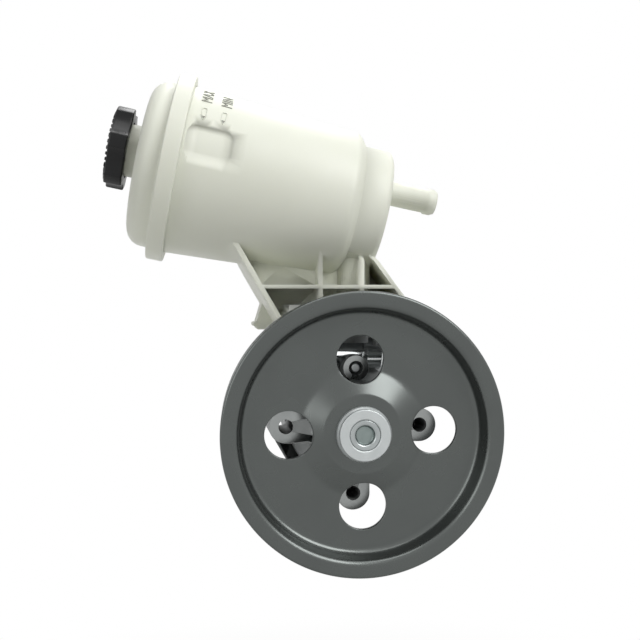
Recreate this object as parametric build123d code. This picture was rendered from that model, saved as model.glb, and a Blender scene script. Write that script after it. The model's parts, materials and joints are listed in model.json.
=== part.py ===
from build123d import *
import os
from math import atan2, hypot, radians, sin, sqrt, tan

# Power steering pump with its fluid reservoir, in millimetres.
# Y is the drive shaft's axis, with the pulley towards -Y. Z is up, X is to the right seen from the pulley.
# The origin lies on the shaft's axis, in the plane of the front mounting bosses.

# Pulley and hub
pulley_radius = 74.0
pulley_width = 26.0
pulley_front_y = -38.0
sheet_thickness = 3.0
web_recess = 10.6
front_ring_width = 8.6
step_slope = 4.8
step_lean = 1.6
cone_outer_radius = 33.5
cone_inner_radius = 20.5
plateau_height = 6.2
rim_thickness = 6.8
front_edge = 1.2
step_front_bend = 3.0
step_root_bend = 3.2
cone_outer_bend = 6.0
cone_inner_bend = 3.0
cone_rear_shift = 0.8
groove_count = 6
groove_pitch = 3.56
groove_depth = 2.7
groove_crest_drop = 1.0
groove_lead = 0.6
groove_crest_half = 0.35
groove_valley_half = 0.3
window_count = 4
window_radius = 12.5
window_pitch_radius = 38.4
window_turn = 1.1
hub_radius = 14.15
hub_spigot_radius = 12.4
hub_length = 24.0
hub_proud = 6.0
hub_edge = 0.95
hub_bore_edge = 0.5
hub_rear_edge = 0.8

# Drive shaft
shaft_radius = 8.0
shaft_recess = 0.5
shaft_end_y = 58.0
shaft_edge = 0.6
shaft_socket_radius = 4.75
shaft_socket_depth = 4.5
shaft_mouth_radius = 5.8
spline_count = 8
spline_width = 2.6
spline_height = 1.1
snap_groove_depth = 0.8
snap_ring_width = 2.6
snap_ring_gap = 4.0

# Running and seating clearances
running_fit = 0.04
slide_fit = 0.05
seat_gap = 0.1
drop_fit = 0.3
# Overrun of a cutting tool past the face it enters
overcut = 1.0

# Housing
boss_face_y = 0.0
boss_radius = 9.2
boss_hole_radius = 4.0
boss_pitch_radius = 37.2
boss_depth = 26.0
through_boss_depth = 38.0
boss_hole_depth = 20.0
snout_radius = 19.0
snout_front_y = -14.0
neck_radius = 25.0
neck_front_y = 2.0
barrel_wall = 6.5
barrel_front_y = 16.0
housing_rear_y = 76.0
seal_radius = 13.5
seal_width = 7.0
seal_lip_depth = 2.0
seal_front_y = -13.0
bush_outer_radius = 10.5
bush_front_y = -4.0
bush_length = 28.0
arm_overlap = 8.0
gusset_left_x = -41.0
gusset_right_x = -20.5
gusset_toe_x = -33.5
gusset_top_z = -10.0
gusset_shelf_z = -11.2
gusset_bottom_z = -24.0
gusset_rib_x = -26.6
gusset_rib_lean = 2.4
gusset_shelf_length = 4.4
gusset_wall = 1.1
gusset_front_y = 22.0
gusset_depth = 14.0

# Pumping cartridge
chamber_radius = 27.5
chamber_front_y = 28.0
thrust_plate_thickness = 5.0
cam_ring_thickness = 20.0
cam_ring_wall = 5.3
cam_throw = 2.4
rotor_gap = 0.3
vane_count = 10
vane_thickness = 1.6
vane_height = 7.0
pressure_plate_thickness = 7.0
ring_pocket_radius = 12.5
ring_pocket_depth = 2.6
snap_ring_thickness = 1.2
port_inner_radius = 15.0
port_outer_radius = 19.0
port_width = 6.0
port_turn = 35.0
dowel_entry = 3.0
seal_groove_back = 4.0
dowel_radius = 2.0
dowel_inset = 3.8
plate_spring_height = 6.0
plate_spring_radius = 18.0
plate_spring_sheet = 1.5
plate_spring_seat = 2.0
end_cover_thickness = 5.0
end_cover_rim = 6.0
end_cover_dish = 2.0
end_cover_groove = 1.0
seal_section = 2.0
retaining_ring_thickness = 2.0
retaining_ring_depth = 2.0
retaining_ring_gap = 9.0
retaining_ring_inset = 2.5

# Flow control valve
valve_y = 20.0
valve_z = 39.0
valve_boss_radius = 8.0
valve_bore_radius = 6.0
valve_left_x = -36.0
valve_right_x = 7.8
valve_collar_radius = 13.0
valve_collar_length = 10.0
spool_length = 16.5
spool_nose_length = 3.0
spool_left_land = 6.8
spool_right_land = 5.2
spool_neck_radius = 4.2
spring_wire_radius = 0.6
spring_coil_radius = 4.7
spring_turns = 5
plug_thread_radius = 7.0
plug_thread_length = 7.0
plug_flange_radius = 9.8
plug_flange_thickness = 2.2
plug_head_radius = 9.0
plug_head_length = 9.0
plug_head_edge = 1.2
plug_socket_across = 8.0
plug_socket_depth = 5.0
hex_chamfer = 1.5
plug_pocket_radius = 10.8
plug_pocket_length = 26.0
union_thread_radius = 8.6
union_thread_length = 8.0
union_hex_across = 20.0
union_hex_length = 8.5
union_hole_radius = 7.0
union_hole_depth = 13.0
union_orifice_radius = 2.5
gallery_x = 2.4
gallery_z = 31.4
gallery_boss_radius = 7.1
gallery_front_y = 5.0
gallery_mouth_radius = 4.0
gallery_mouth_depth = 2.5
gallery_plug_radius = 2.6
gallery_plug_length = 4.4

# Saddle that carries the reservoir
saddle_top_z = 54.0
saddle_thickness = 4.0
saddle_left_x = -42.0
saddle_right_x = 38.0
saddle_front_y = -8.0
saddle_rear_y = 60.0
pedestal_left_x = -34.0
pedestal_right_x = 30.0
pedestal_front_y = 29.0
pedestal_root_z = 17.0
bolt_left_x = -33.0
bolt_right_x = 18.5
bolt_front_y = -0.5
bolt_rear_y = 50.0
bolt_radius = 3.0
bolt_engagement = 8.0
bolt_flange_radius = 6.6
bolt_flange_thickness = 1.4
bolt_hex_across = 10.0
bolt_head_height = 5.6
bolt_pad_radius = 7.5
bolt_pad_depth = 10.0
inlet_x = 1.3
inlet_y = 9.0
inlet_boss_radius = 8.6
inlet_boss_bottom_z = 45.5
inlet_bore_radius = 6.6
inlet_bore_depth = 7.0

# Reservoir, turned about an axis that falls to the right
tank_x = -103.1
tank_y = 19.0
tank_z = 142.85
tank_tilt = 11.4
tank_wall = 3.0
tank_mouth_radius = 46.5
tank_shoulder_radius = 41.3
tank_shoulder_start = 102.5
tank_shoulder_corner = 6.0
tank_tail_start = 106.8
tank_tail_radius = 35.0
tank_tail_lip = 0.8
tank_length = 123.2
tank_tail_corner = 3.5
rim_overhang = 5.0
rim_width = 9.2
rim_overlap = 3.0
lid_step = 0.9
lid_taper = 0.6
lid_foot = 1.2
rim_edge = 0.8
lid_height = 13.0
lid_corner = 9.0
neck_offset = 4.8
filler_radius = 14.4
filler_length = 12.5
filler_bore_radius = 11.6
nozzle_offset = 12.5
nozzle_radius = 6.75
nozzle_bore_radius = 4.6
nozzle_length = 30.8
nozzle_bead_radius = 7.4
nozzle_bead_length = 6.6
nozzle_bead_step = 0.8
nozzle_lead_in = 2.0
nozzle_lead_drop = 0.4
panel_start = 10.4
panel_length = 24.2
panel_low = 1.5
panel_high = 19.5
panel_corner = 5.0
panel_depth = 0.8
strainer_radius = 14.0
strainer_wall = 1.6
strainer_length = 32.0
strainer_slots = 8
strainer_slot_width = 5.0
strainer_slot_margin = 5.0
strainer_drop = 5.0
strainer_corner = 1.5

# Bracket moulded below the reservoir
bracket_front_y = -8.5
bracket_rear_y = 62.0
bracket_web_y = 7.0
bracket_web_thickness = 3.0
left_wall_thickness = 2.6
right_wall_thickness = 2.1
rib_thickness = 2.4
right_web_y = 30.0
shelf_thickness = 2.0
shelf_z = 76.4
floor_thickness = 3.0
left_wall_x = -41.6
left_wall_z = 59.8
left_wall_lean = 0.58
right_wall_x = 9.9
right_wall_z = 92.2
right_wall_lean = 0.75
rib_left_x = -19.1
rib_right_x = 3.5
bolt_boss_radius = 7.0
bolt_boss_height = 4.0
sleeve_radius = 5.0
tail_relief_y = -2.2
tail_relief_z = 94.0
tail_relief_rise = 3.5
suction_outer_radius = 9.2
suction_bore_radius = 4.6
suction_spigot_radius = 6.3
suction_groove_radius = 5.4
suction_seal_top = 2.0
wall_top_z = 116.0
rib_top_z = 104.0
rear_corner_z = 84.0
rear_shoulder_y = 50.0
rear_shoulder_z = 100.0
foot_left_x = -50.5
foot_top_z = 67.2
foot_knee_z = 57.0
foot_bottom_z = 52.0
foot_front_y = 40.0
foot_corner = 1.2
foot_overlap = 4.0
foot_gap = 0.5
foot_tab_radius = 1.4
foot_tab_z = 55.0
foot_tab_reach = 0.6

# Filler cap
cap_radius = 22.8
cap_face = 30.5
cap_height = 10.6
cap_top_thickness = 2.6
cap_bore_radius = 15.4
cap_scallops = 6
cap_scallop_radius = 15.0
cap_scallop_depth = 1.9
cap_scallop_turn = 38.0
cap_edge = 1.0
gasket_thickness = 2.0
gasket_lip = 1.5


def corner_outline(points):
    """Closed outline through (u, v, corner radius) points, each corner rounded by a tangent arc."""
    ends = []
    count = len(points)
    for index in range(count):
        before, here, after = points[index - 1], points[index], points[(index + 1) % count]
        corner = Vector(here[0], here[1])
        if here[2] == 0:
            ends.append((corner, corner, corner))
            continue
        back = (Vector(before[0], before[1]) - corner).normalized()
        ahead = (Vector(after[0], after[1]) - corner).normalized()
        half_angle = radians(back.get_angle(ahead)) / 2
        middle = (back + ahead).normalized()
        reach = here[2] / tan(half_angle)
        centre = corner + middle * (here[2] / sin(half_angle))
        ends.append((corner + back * reach, centre - middle * here[2], corner + ahead * reach))
    edges = []
    for index in range(count):
        start, top, stop = ends[index]
        if (stop - start).length > 1e-6:
            edges.append(ThreePointArc(start, top, stop))
        following = ends[(index + 1) % count][0]
        if (following - stop).length > 1e-6:
            edges.append(Line(stop, following))
    return make_face(edges)


def turned_about_y(points):
    """Solid of revolution from (radius, y, corner radius) points."""
    return revolve(corner_outline(points), Axis.Y, 360)


def turned_about_x(points):
    """Solid of revolution from (x, radius, corner radius) points."""
    return revolve(corner_outline(points), Axis.X, 360)


def tube_y(radius, y_start, y_end, x=0.0, z=0.0):
    return Pos(x, (y_start + y_end) / 2, z) * Rot(90, 0, 0) * Cylinder(radius, y_end - y_start)


def tube_x(radius, x_start, x_end, y=0.0, z=0.0):
    return Pos((x_start + x_end) / 2, y, z) * Rot(0, 90, 0) * Cylinder(radius, x_end - x_start)


def tube_z(radius, z_start, z_end, x=0.0, y=0.0):
    return Pos(x, y, (z_start + z_end) / 2) * Cylinder(radius, z_end - z_start)


def block(x_start, x_end, y_start, y_end, z_start, z_end):
    middle = Pos((x_start + x_end) / 2, (y_start + y_end) / 2, (z_start + z_end) / 2)
    return middle * Box(x_end - x_start, y_end - y_start, z_end - z_start)


def wall_along_y(points, y_start, y_end):
    """Prism along Y over an outline of (x, z, corner radius) points."""
    face = Pos(0, y_end, 0) * Rot(90, 0, 0) * corner_outline(points)
    return extrude(face, amount=y_end - y_start, dir=(0, -1, 0))


def ring_y(inner, outer, y_start, y_end):
    return tube_y(outer, y_start, y_end) - tube_y(inner, y_start - 1, y_end + 1)


# Sizes that follow from the driving ones
ring_inner_radius = pulley_radius - front_ring_width
step_radius = ring_inner_radius - step_slope
rim_inner_radius = pulley_radius - rim_thickness
barrel_radius = chamber_radius + barrel_wall
cam_major_radius = chamber_radius - cam_ring_wall
cam_minor_radius = cam_major_radius - cam_throw
rotor_radius = cam_minor_radius - rotor_gap
dowel_pitch_radius = chamber_radius - dowel_inset
rim_radius = tank_mouth_radius + rim_overhang
lid_radius = tank_mouth_radius - lid_step
shaft_core_radius = shaft_radius - spline_height

# Planes along the shaft that several pieces share
pulley_rear_y = pulley_front_y + pulley_width
web_front_y = pulley_front_y + web_recess
web_rear_y = web_front_y + sheet_thickness
plateau_front_y = web_front_y - plateau_height
plateau_rear_y = plateau_front_y + sheet_thickness
hub_front_y = plateau_front_y - hub_proud
hub_rear_y = hub_front_y + hub_length
cam_front_y = chamber_front_y + thrust_plate_thickness
cam_rear_y = cam_front_y + cam_ring_thickness
plate_rear_y = cam_rear_y + pressure_plate_thickness
cover_front_y = plate_rear_y + plate_spring_height
cover_rear_y = cover_front_y + end_cover_thickness
bolt_places = [(x, y) for x in (bolt_left_x, bolt_right_x) for y in (bolt_front_y, bolt_rear_y)]
spool_left_x = valve_left_x + union_thread_length + seat_gap
boss_places = [(-boss_pitch_radius, 0), (boss_pitch_radius, 0), (0, -boss_pitch_radius)]


def make_pulley():
    """Spun sheet pulley: belt rim, flat front ring, deep step, web, cone and flat centre."""
    crest_radius = pulley_radius - groove_crest_drop
    valley_radius = crest_radius - groove_depth
    grooves_start = pulley_front_y + (pulley_width - groove_count * groove_pitch) / 2
    profile = [
        (hub_spigot_radius, plateau_front_y, 0),
        (cone_inner_radius, plateau_front_y, cone_inner_bend),
        (cone_outer_radius, web_front_y, cone_outer_bend),
        (step_radius, web_front_y, step_root_bend),
        (ring_inner_radius - step_lean, pulley_front_y, step_front_bend),
        (pulley_radius, pulley_front_y, front_edge),
        (pulley_radius, grooves_start - groove_lead, 0),
        (crest_radius, grooves_start, 0),
    ]
    for groove in range(groove_count):
        start = grooves_start + groove * groove_pitch
        profile.append((crest_radius, start + groove_crest_half, 0))
        profile.append((valley_radius, start + groove_pitch / 2 - groove_valley_half, 0))
        profile.append((valley_radius, start + groove_pitch / 2 + groove_valley_half, 0))
        profile.append((crest_radius, start + groove_pitch - groove_crest_half, 0))
    profile += [
        (crest_radius, pulley_rear_y, 0),
        (rim_inner_radius, pulley_rear_y, 0),
        (rim_inner_radius, web_rear_y, step_root_bend),
        (cone_outer_radius + cone_rear_shift, web_rear_y, cone_outer_bend),
        (cone_inner_radius + cone_rear_shift, plateau_rear_y, cone_inner_bend),
        (hub_spigot_radius, plateau_rear_y, 0),
    ]
    pulley = turned_about_y(profile)
    window = tube_y(window_radius, pulley_front_y, pulley_rear_y, x=window_pitch_radius)
    for turn in range(window_count):
        pulley -= Rot(0, -window_turn - turn * 360 / window_count, 0) * window
    return pulley


def make_pulley_hub():
    """Steel sleeve: a thick collar in front of the web and a spigot through it."""
    return turned_about_y([
        (shaft_radius, hub_front_y, hub_bore_edge),
        (hub_radius, hub_front_y, hub_edge),
        (hub_radius, plateau_front_y, 0),
        (hub_spigot_radius, plateau_front_y, 0),
        (hub_spigot_radius, hub_rear_y, hub_rear_edge),
        (shaft_radius, hub_rear_y, hub_bore_edge),
    ])


def spline_teeth(clearance):
    """Straight splines between the shaft's core and the rotor."""
    height = spline_height + clearance
    width = spline_width + 2 * clearance
    tooth = block(shaft_core_radius - overcut, shaft_core_radius + height, cam_front_y, cam_rear_y,
                  -width / 2, width / 2)
    teeth = tube_y(shaft_core_radius + clearance, cam_front_y, cam_rear_y)
    for turn in range(spline_count):
        teeth += Rot(0, turn * 360 / spline_count, 0) * tooth
    return teeth


def make_drive_shaft():
    """Ground shaft with a splined rear, a snap ring groove and a shallow centre hole in front."""
    front = hub_front_y + shaft_recess
    shaft = turned_about_y([
        (0, front, 0),
        (shaft_radius, front, shaft_edge),
        (shaft_radius, cam_front_y, 0),
        (shaft_core_radius, cam_front_y, 0),
        (shaft_core_radius, shaft_end_y, shaft_edge),
        (0, shaft_end_y, 0),
    ])
    shaft += spline_teeth(0.0)
    mouth_depth = shaft_mouth_radius - shaft_socket_radius
    shaft -= turned_about_y([
        (0, front - overcut, 0),
        (shaft_mouth_radius, front - overcut, 0),
        (shaft_mouth_radius, front, 0),
        (shaft_socket_radius, front + mouth_depth, 0),
        (shaft_socket_radius, front + shaft_socket_depth, 0),
        (0, front + shaft_socket_depth, 0),
    ])
    groove = cam_rear_y + seat_gap
    shaft -= ring_y(shaft_core_radius - snap_groove_depth, shaft_radius + overcut, groove, groove + snap_ring_thickness)
    return shaft


def make_shaft_seal():
    """Lip seal with a stepped front, its bore in running contact with the shaft."""
    return turned_about_y([
        (shaft_radius + running_fit, seal_front_y + seal_lip_depth, 0),
        (shaft_radius + seal_lip_depth, seal_front_y, 0),
        (seal_radius, seal_front_y, 0.5),
        (seal_radius, seal_front_y + seal_width, 0),
        (shaft_radius + running_fit, seal_front_y + seal_width, 0),
    ])


def make_front_bush():
    bush_rear_y = bush_front_y + bush_length
    return ring_y(shaft_radius + running_fit, bush_outer_radius, bush_front_y, bush_rear_y)


def housing_arm(x_centre, z_centre):
    """Boss and the tangent-sided arm that ties it to the neck."""
    reach = boss_pitch_radius - neck_radius + arm_overlap
    away_x = 1 if x_centre > 0 else -1
    boss = tube_y(boss_radius, boss_face_y, boss_depth, x_centre, z_centre)
    if z_centre == 0:
        ends = sorted((x_centre, x_centre - away_x * reach))
        return boss + block(ends[0], ends[1], boss_face_y, boss_depth, -boss_radius, boss_radius)
    return boss + block(-boss_radius, boss_radius, boss_face_y, boss_depth, z_centre, z_centre + reach)


def make_pump_housing():
    """Die-cast body: snout, neck, barrel, three bolt arms, valve boss and reservoir saddle."""
    body = turned_about_y([
        (0, snout_front_y, 0),
        (snout_radius, snout_front_y, 1.5),
        (snout_radius, neck_front_y, 2),
        (neck_radius, neck_front_y, 2),
        (neck_radius, barrel_front_y - 3, 3),
        (barrel_radius, barrel_front_y + 6, 4),
        (barrel_radius, housing_rear_y, 2),
        (0, housing_rear_y, 0),
    ])
    for x_centre, z_centre in boss_places:
        body += housing_arm(x_centre, z_centre)
    body += tube_y(boss_radius, boss_face_y, through_boss_depth, -boss_pitch_radius, 0)
    body += lower_left_gusset()
    body += tube_x(valve_boss_radius, valve_left_x, valve_right_x, valve_y, valve_z)
    collar_end = valve_left_x + valve_collar_length
    body += tube_x(valve_collar_radius, valve_left_x, collar_end, valve_y, valve_z)
    body += tube_y(gallery_boss_radius, gallery_front_y, valve_y, gallery_x, gallery_z)
    body += saddle()
    body -= housing_hollows()
    return body


def lower_left_gusset():
    """Cored rib box under the through boss, open to the front, its thin walls standing as ribs."""
    left, right = gusset_left_x, gusset_right_x
    top, shelf, bottom = gusset_top_z, gusset_shelf_z, gusset_bottom_z
    toe = gusset_toe_x
    rib = gusset_rib_x
    wall = gusset_wall
    outline = [(left - wall, boss_face_y - wall, 0), (left, shelf, 2), (toe, bottom, 3), (right + wall, bottom - wall, 0),
               (right + wall, boss_face_y - wall, 0)]
    gusset = wall_along_y(outline, gusset_front_y, through_boss_depth)
    main_pocket = [(left + wall, top, 0), (toe + wall / 2, bottom + wall, 2), (rib + gusset_rib_lean, bottom + wall / 2, 0),
                   (rib, shelf, 0), (rib - gusset_shelf_length, shelf, 0), (rib - gusset_shelf_length, top, 0)]
    side_pocket = [(rib + 2 * wall, shelf, 0), (rib + 2 * wall + gusset_rib_lean, shelf - 2 * gusset_rib_lean, 0),
                   (right - wall, shelf - gusset_rib_lean, 0), (right - wall, shelf, 0)]
    floor_y = gusset_front_y + gusset_depth
    for pocket in (main_pocket, side_pocket):
        gusset -= wall_along_y(pocket, gusset_front_y - overcut, floor_y)
    return gusset


def saddle():
    """Pedestal, top plate, bolt pads and inlet boss under the reservoir."""
    plate = block(saddle_left_x, saddle_right_x, saddle_front_y, saddle_rear_y,
                  saddle_top_z - saddle_thickness, saddle_top_z)
    plate = fillet(plate.edges().filter_by(Axis.Z), 5)
    pedestal = block(pedestal_left_x, pedestal_right_x, pedestal_front_y, saddle_rear_y,
                     pedestal_root_z, saddle_top_z - 1)
    inlet = tube_z(inlet_boss_radius, inlet_boss_bottom_z, saddle_top_z - 1, inlet_x, inlet_y)
    neck_web = block(valve_left_x + valve_collar_length, valve_right_x - 1, valve_y, pedestal_front_y + 1,
                     pedestal_root_z, saddle_top_z - 1)
    result = plate + pedestal + inlet + neck_web
    for x, y in bolt_places:
        result += tube_z(bolt_pad_radius, saddle_top_z - bolt_pad_depth, saddle_top_z, x, y)
    return result


def housing_hollows():
    """Everything that is bored, threaded or cored out of the housing."""
    hollows = tube_y(seal_radius, snout_front_y - 1, seal_front_y + seal_width)
    hollows += tube_y(bush_outer_radius, snout_front_y, bush_front_y + bush_length)
    hollows += tube_y(shaft_radius + 1, snout_front_y, chamber_front_y + 1)
    hollows += tube_y(chamber_radius, chamber_front_y, housing_rear_y + 1)
    groove = cover_rear_y + seat_gap
    hollows += tube_y(chamber_radius + retaining_ring_depth, groove, groove + retaining_ring_thickness)
    hollows += tube_x(valve_bore_radius, valve_left_x - 1, valve_right_x + 1, valve_y, valve_z)
    hollows += tube_x(plug_thread_radius, valve_right_x - plug_thread_length, valve_right_x + 1, valve_y, valve_z)
    pocket_end = valve_right_x + plug_pocket_length
    hollows += tube_x(plug_pocket_radius, valve_right_x, pocket_end, valve_y, valve_z)
    union_end = valve_left_x + union_thread_length
    hollows += tube_x(union_thread_radius, valve_left_x - 1, union_end, valve_y, valve_z)
    hollows += tube_y(gallery_mouth_radius, gallery_front_y - 1, gallery_front_y + gallery_mouth_depth,
                      gallery_x, gallery_z)
    gallery_end = gallery_front_y + gallery_mouth_depth + gallery_plug_length
    hollows += tube_y(gallery_plug_radius, gallery_front_y, gallery_end, gallery_x, gallery_z)
    hollows += tube_z(inlet_bore_radius, saddle_top_z - inlet_bore_depth, saddle_top_z + 1, inlet_x, inlet_y)
    for x_centre, z_centre in boss_places:
        depth = through_boss_depth + 1 if x_centre < 0 else boss_hole_depth
        hollows += tube_y(boss_hole_radius, boss_face_y - 1, depth, x_centre, z_centre)
    for x, y in bolt_places:
        hollows += tube_z(bolt_radius, saddle_top_z - bolt_engagement - 1, saddle_top_z + 1, x, y)
    return hollows


def make_thrust_plate():
    plate = ring_y(shaft_radius + 0.5, chamber_radius - slide_fit, chamber_front_y, cam_front_y)
    for turn in (0, 180):
        plate -= Rot(0, turn, 0) * tube_y(dowel_radius, chamber_front_y - 1, cam_front_y + 1, z=dowel_pitch_radius)
    return plate


def make_cam_ring():
    """Ring with the oval track that works the vanes twice a turn."""
    track = Rot(90, 0, 0) * Ellipse(cam_major_radius, cam_minor_radius)
    track = extrude(Pos(0, cam_rear_y + 1, 0) * track, amount=cam_ring_thickness + 2, dir=(0, -1, 0))
    ring = tube_y(chamber_radius - slide_fit, cam_front_y, cam_rear_y) - track
    for turn in (0, 180):
        ring -= Rot(0, turn, 0) * tube_y(dowel_radius, cam_front_y - 1, cam_rear_y + 1, z=dowel_pitch_radius)
    return ring


def rotor_slot(clearance):
    """Prism that one vane slides in, centred on the +Z side."""
    half = vane_thickness / 2 + clearance
    foot = rotor_radius - vane_height - clearance
    return block(-half, half, cam_front_y - 1, cam_rear_y + 1, foot, rotor_radius + 1)


def make_rotor():
    rotor = tube_y(rotor_radius, cam_front_y + running_fit, cam_rear_y - running_fit)
    rotor -= spline_teeth(slide_fit)
    for turn in range(vane_count):
        rotor -= Rot(0, (turn + 0.5) * 360 / vane_count, 0) * rotor_slot(slide_fit)
    return rotor


def make_vane(index):
    """One vane drawn in to the cam's smallest radius, its tip rounded."""
    tip = cam_minor_radius - slide_fit
    foot = rotor_radius - vane_height
    half = vane_thickness / 2
    profile = [(-half, foot, 0), (half, foot, 0), (half, tip, 0.6), (-half, tip, 0.6)]
    vane = wall_along_y(profile, cam_front_y + slide_fit, cam_rear_y - slide_fit)
    return Rot(0, (index + 0.5) * 360 / vane_count, 0) * vane


def make_pressure_plate():
    """Rear plate with a pocket for the snap ring, two ports and a seal groove."""
    outer = chamber_radius - slide_fit
    plate = tube_y(outer, cam_rear_y, plate_rear_y)
    plate -= tube_y(ring_pocket_radius, cam_rear_y - 1, cam_rear_y + ring_pocket_depth)
    plate -= tube_y(shaft_radius, cam_rear_y - 1, shaft_end_y + 1)
    groove = plate_rear_y - seal_groove_back
    plate -= ring_y(outer - seal_section, outer + 1, groove, groove + seal_section)
    for turn in (0, 180):
        plate -= Rot(0, turn, 0) * tube_y(dowel_radius, cam_rear_y - 1, cam_rear_y + dowel_entry, z=dowel_pitch_radius)
        port = block(port_inner_radius, port_outer_radius, cam_rear_y - 1, plate_rear_y + 1,
                     -port_width / 2, port_width / 2)
        plate -= Rot(0, turn + port_turn, 0) * port
    return plate


def make_pressure_plate_seal():
    outer = chamber_radius - slide_fit
    groove = plate_rear_y - seal_groove_back
    return ring_y(outer - seal_section, outer, groove, groove + seal_section)


def make_dowel_pins():
    pin = tube_y(dowel_radius, chamber_front_y, cam_rear_y + dowel_entry, z=dowel_pitch_radius)
    return [pin, Rot(0, 180, 0) * pin]


def make_rotor_snap_ring():
    start = cam_rear_y + seat_gap
    end = start + snap_ring_thickness
    outer = shaft_core_radius + snap_ring_width
    ring = ring_y(shaft_core_radius - snap_groove_depth, outer, start, end)
    half = snap_ring_gap / 2
    return ring - block(0, outer + overcut, start - overcut, end + overcut, -half, half)


def make_pressure_spring():
    """Dished washer that presses the pressure plate against the cam ring."""
    top = plate_rear_y
    bottom = cover_front_y
    return turned_about_y([
        (plate_spring_radius - plate_spring_sheet, bottom - plate_spring_sheet, 0),
        (plate_spring_radius, bottom, 0),
        (plate_spring_radius - plate_spring_seat, bottom, 0),
        (ring_pocket_radius - plate_spring_seat, top + plate_spring_sheet, 0),
        (ring_pocket_radius - plate_spring_seat - plate_spring_sheet, top, 0),
        (ring_pocket_radius, top, 0),
    ])


def make_end_cover():
    """Dished steel cover with a seal groove in its edge."""
    outer = chamber_radius - slide_fit
    cover = turned_about_y([
        (0, cover_front_y, 0),
        (outer, cover_front_y, 0),
        (outer, cover_rear_y, 0.8),
        (outer - end_cover_rim, cover_rear_y, 1),
        (outer - end_cover_rim - end_cover_dish, cover_rear_y - end_cover_dish, 1),
        (0, cover_rear_y - end_cover_dish, 0),
    ])
    groove = cover_front_y + end_cover_groove
    return cover - ring_y(outer - seal_section, outer + overcut, groove, groove + seal_section)


def make_end_cover_seal():
    outer = chamber_radius - slide_fit
    groove = cover_front_y + end_cover_groove
    return ring_y(outer - seal_section, outer, groove, groove + seal_section)


def make_retaining_ring():
    """Sprung ring in the housing's groove, with a gap for the pliers."""
    start = cover_rear_y + seat_gap
    outer = chamber_radius + retaining_ring_depth - seat_gap
    end = start + retaining_ring_thickness - seat_gap
    ring = ring_y(chamber_radius - retaining_ring_inset, outer, start, end)
    gap = retaining_ring_gap / 2
    return ring - block(-gap, gap, start - overcut, end + overcut, -outer - overcut, 0)


def make_flow_spool():
    """Valve spool with two lands, a waist, and a nose that meets the union."""
    left = spool_left_x
    right = spool_left_x + spool_length
    land = valve_bore_radius - slide_fit
    spool = turned_about_x([
        (left, 0, 0),
        (left, union_orifice_radius + 1, 0.4),
        (left + spool_nose_length, union_orifice_radius + 1, 0),
        (left + spool_nose_length, land, 0.3),
        (left + spool_left_land, land, 0.3),
        (left + spool_left_land, spool_neck_radius, 0),
        (right - spool_right_land, spool_neck_radius, 0),
        (right - spool_right_land, land, 0.3),
        (right, land, 0.3),
        (right, 0, 0),
    ])
    return Pos(0, valve_y, valve_z) * spool


def make_spool_spring():
    """Coil between the spool and the plug, its wire drawn with a square section."""
    left = spool_left_x + spool_length
    right = valve_right_x - plug_thread_length
    wire = 2 * spring_wire_radius
    pitch = (right - left - wire) / spring_turns
    path = Helix(pitch=pitch, height=pitch * spring_turns, radius=spring_coil_radius)
    section = Plane(origin=path @ 0, z_dir=path % 0) * Rectangle(wire, wire)
    coil = sweep(section, path=path, is_frenet=True)
    return Pos(left + spring_wire_radius, valve_y, valve_z) * Rot(0, 90, 0) * coil


def hexagon_x(vertex_radius, x_start, x_end):
    """Hexagonal bar along X with its flats on top and below."""
    bar = extrude(RegularPolygon(vertex_radius, 6, rotation=30), amount=x_end - x_start)
    return Pos(x_start, 0, 0) * Rot(0, 90, 0) * bar


def bar_end(vertex_radius, x_start, x_end):
    """Round blank that chamfers the corners of a hexagonal bar at x_end."""
    side = 1 if x_end > x_start else -1
    return turned_about_x([
        (x_start, 0, 0),
        (x_start, vertex_radius + overcut, 0),
        (x_end - side * hex_chamfer, vertex_radius + overcut / 2, 0),
        (x_end, vertex_radius - hex_chamfer, 0),
        (x_end, 0, 0),
    ])


def make_valve_plug():
    """Turned plug that closes the valve bore on the right, with a hexagon socket in its round head."""
    face = valve_right_x
    head_start = face + plug_flange_thickness
    head_end = head_start + plug_head_length
    plug = turned_about_x([
        (face - plug_thread_length, 0, 0),
        (face - plug_thread_length, plug_thread_radius, 0),
        (face, plug_thread_radius, 0),
        (face, plug_flange_radius, 0),
        (head_start, plug_flange_radius, 0),
        (head_start, plug_head_radius, 0),
        (head_end, plug_head_radius, plug_head_edge),
        (head_end, 0, 0),
    ])
    plug -= hexagon_x(plug_socket_across / sqrt(3), head_end - plug_socket_depth, head_end + overcut)
    return Pos(0, valve_y, valve_z) * plug


def make_outlet_union():
    """Hexagon union with the pressure hose thread on its left end."""
    face = valve_left_x
    end = face - union_hex_length
    hex_vertex = union_hex_across / sqrt(3)
    body = hexagon_x(hex_vertex, end, face) & bar_end(hex_vertex, face, end)
    body += tube_x(union_thread_radius, face, face + union_thread_length)
    body -= tube_x(union_hole_radius, end - 1, end + union_hole_depth)
    body -= tube_x(union_orifice_radius, end, face + union_thread_length + 1)
    return Pos(0, valve_y, valve_z) * body


def make_gallery_plug():
    """Pressed plug that closes the cross drilling behind the valve."""
    start = gallery_front_y + gallery_mouth_depth - 1
    end = gallery_front_y + gallery_mouth_depth + gallery_plug_length
    return Pos(gallery_x, 0, gallery_z) * turned_about_y([
        (0, start, 0),
        (gallery_plug_radius, start, 0.6),
        (gallery_plug_radius, end, 0),
        (0, end, 0),
    ])


def on_tank(solid):
    """Puts a piece drawn along X from the rim's left face onto the reservoir's axis."""
    return Pos(tank_x, tank_y, tank_z) * Rot(0, tank_tilt, 0) * solid


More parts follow.
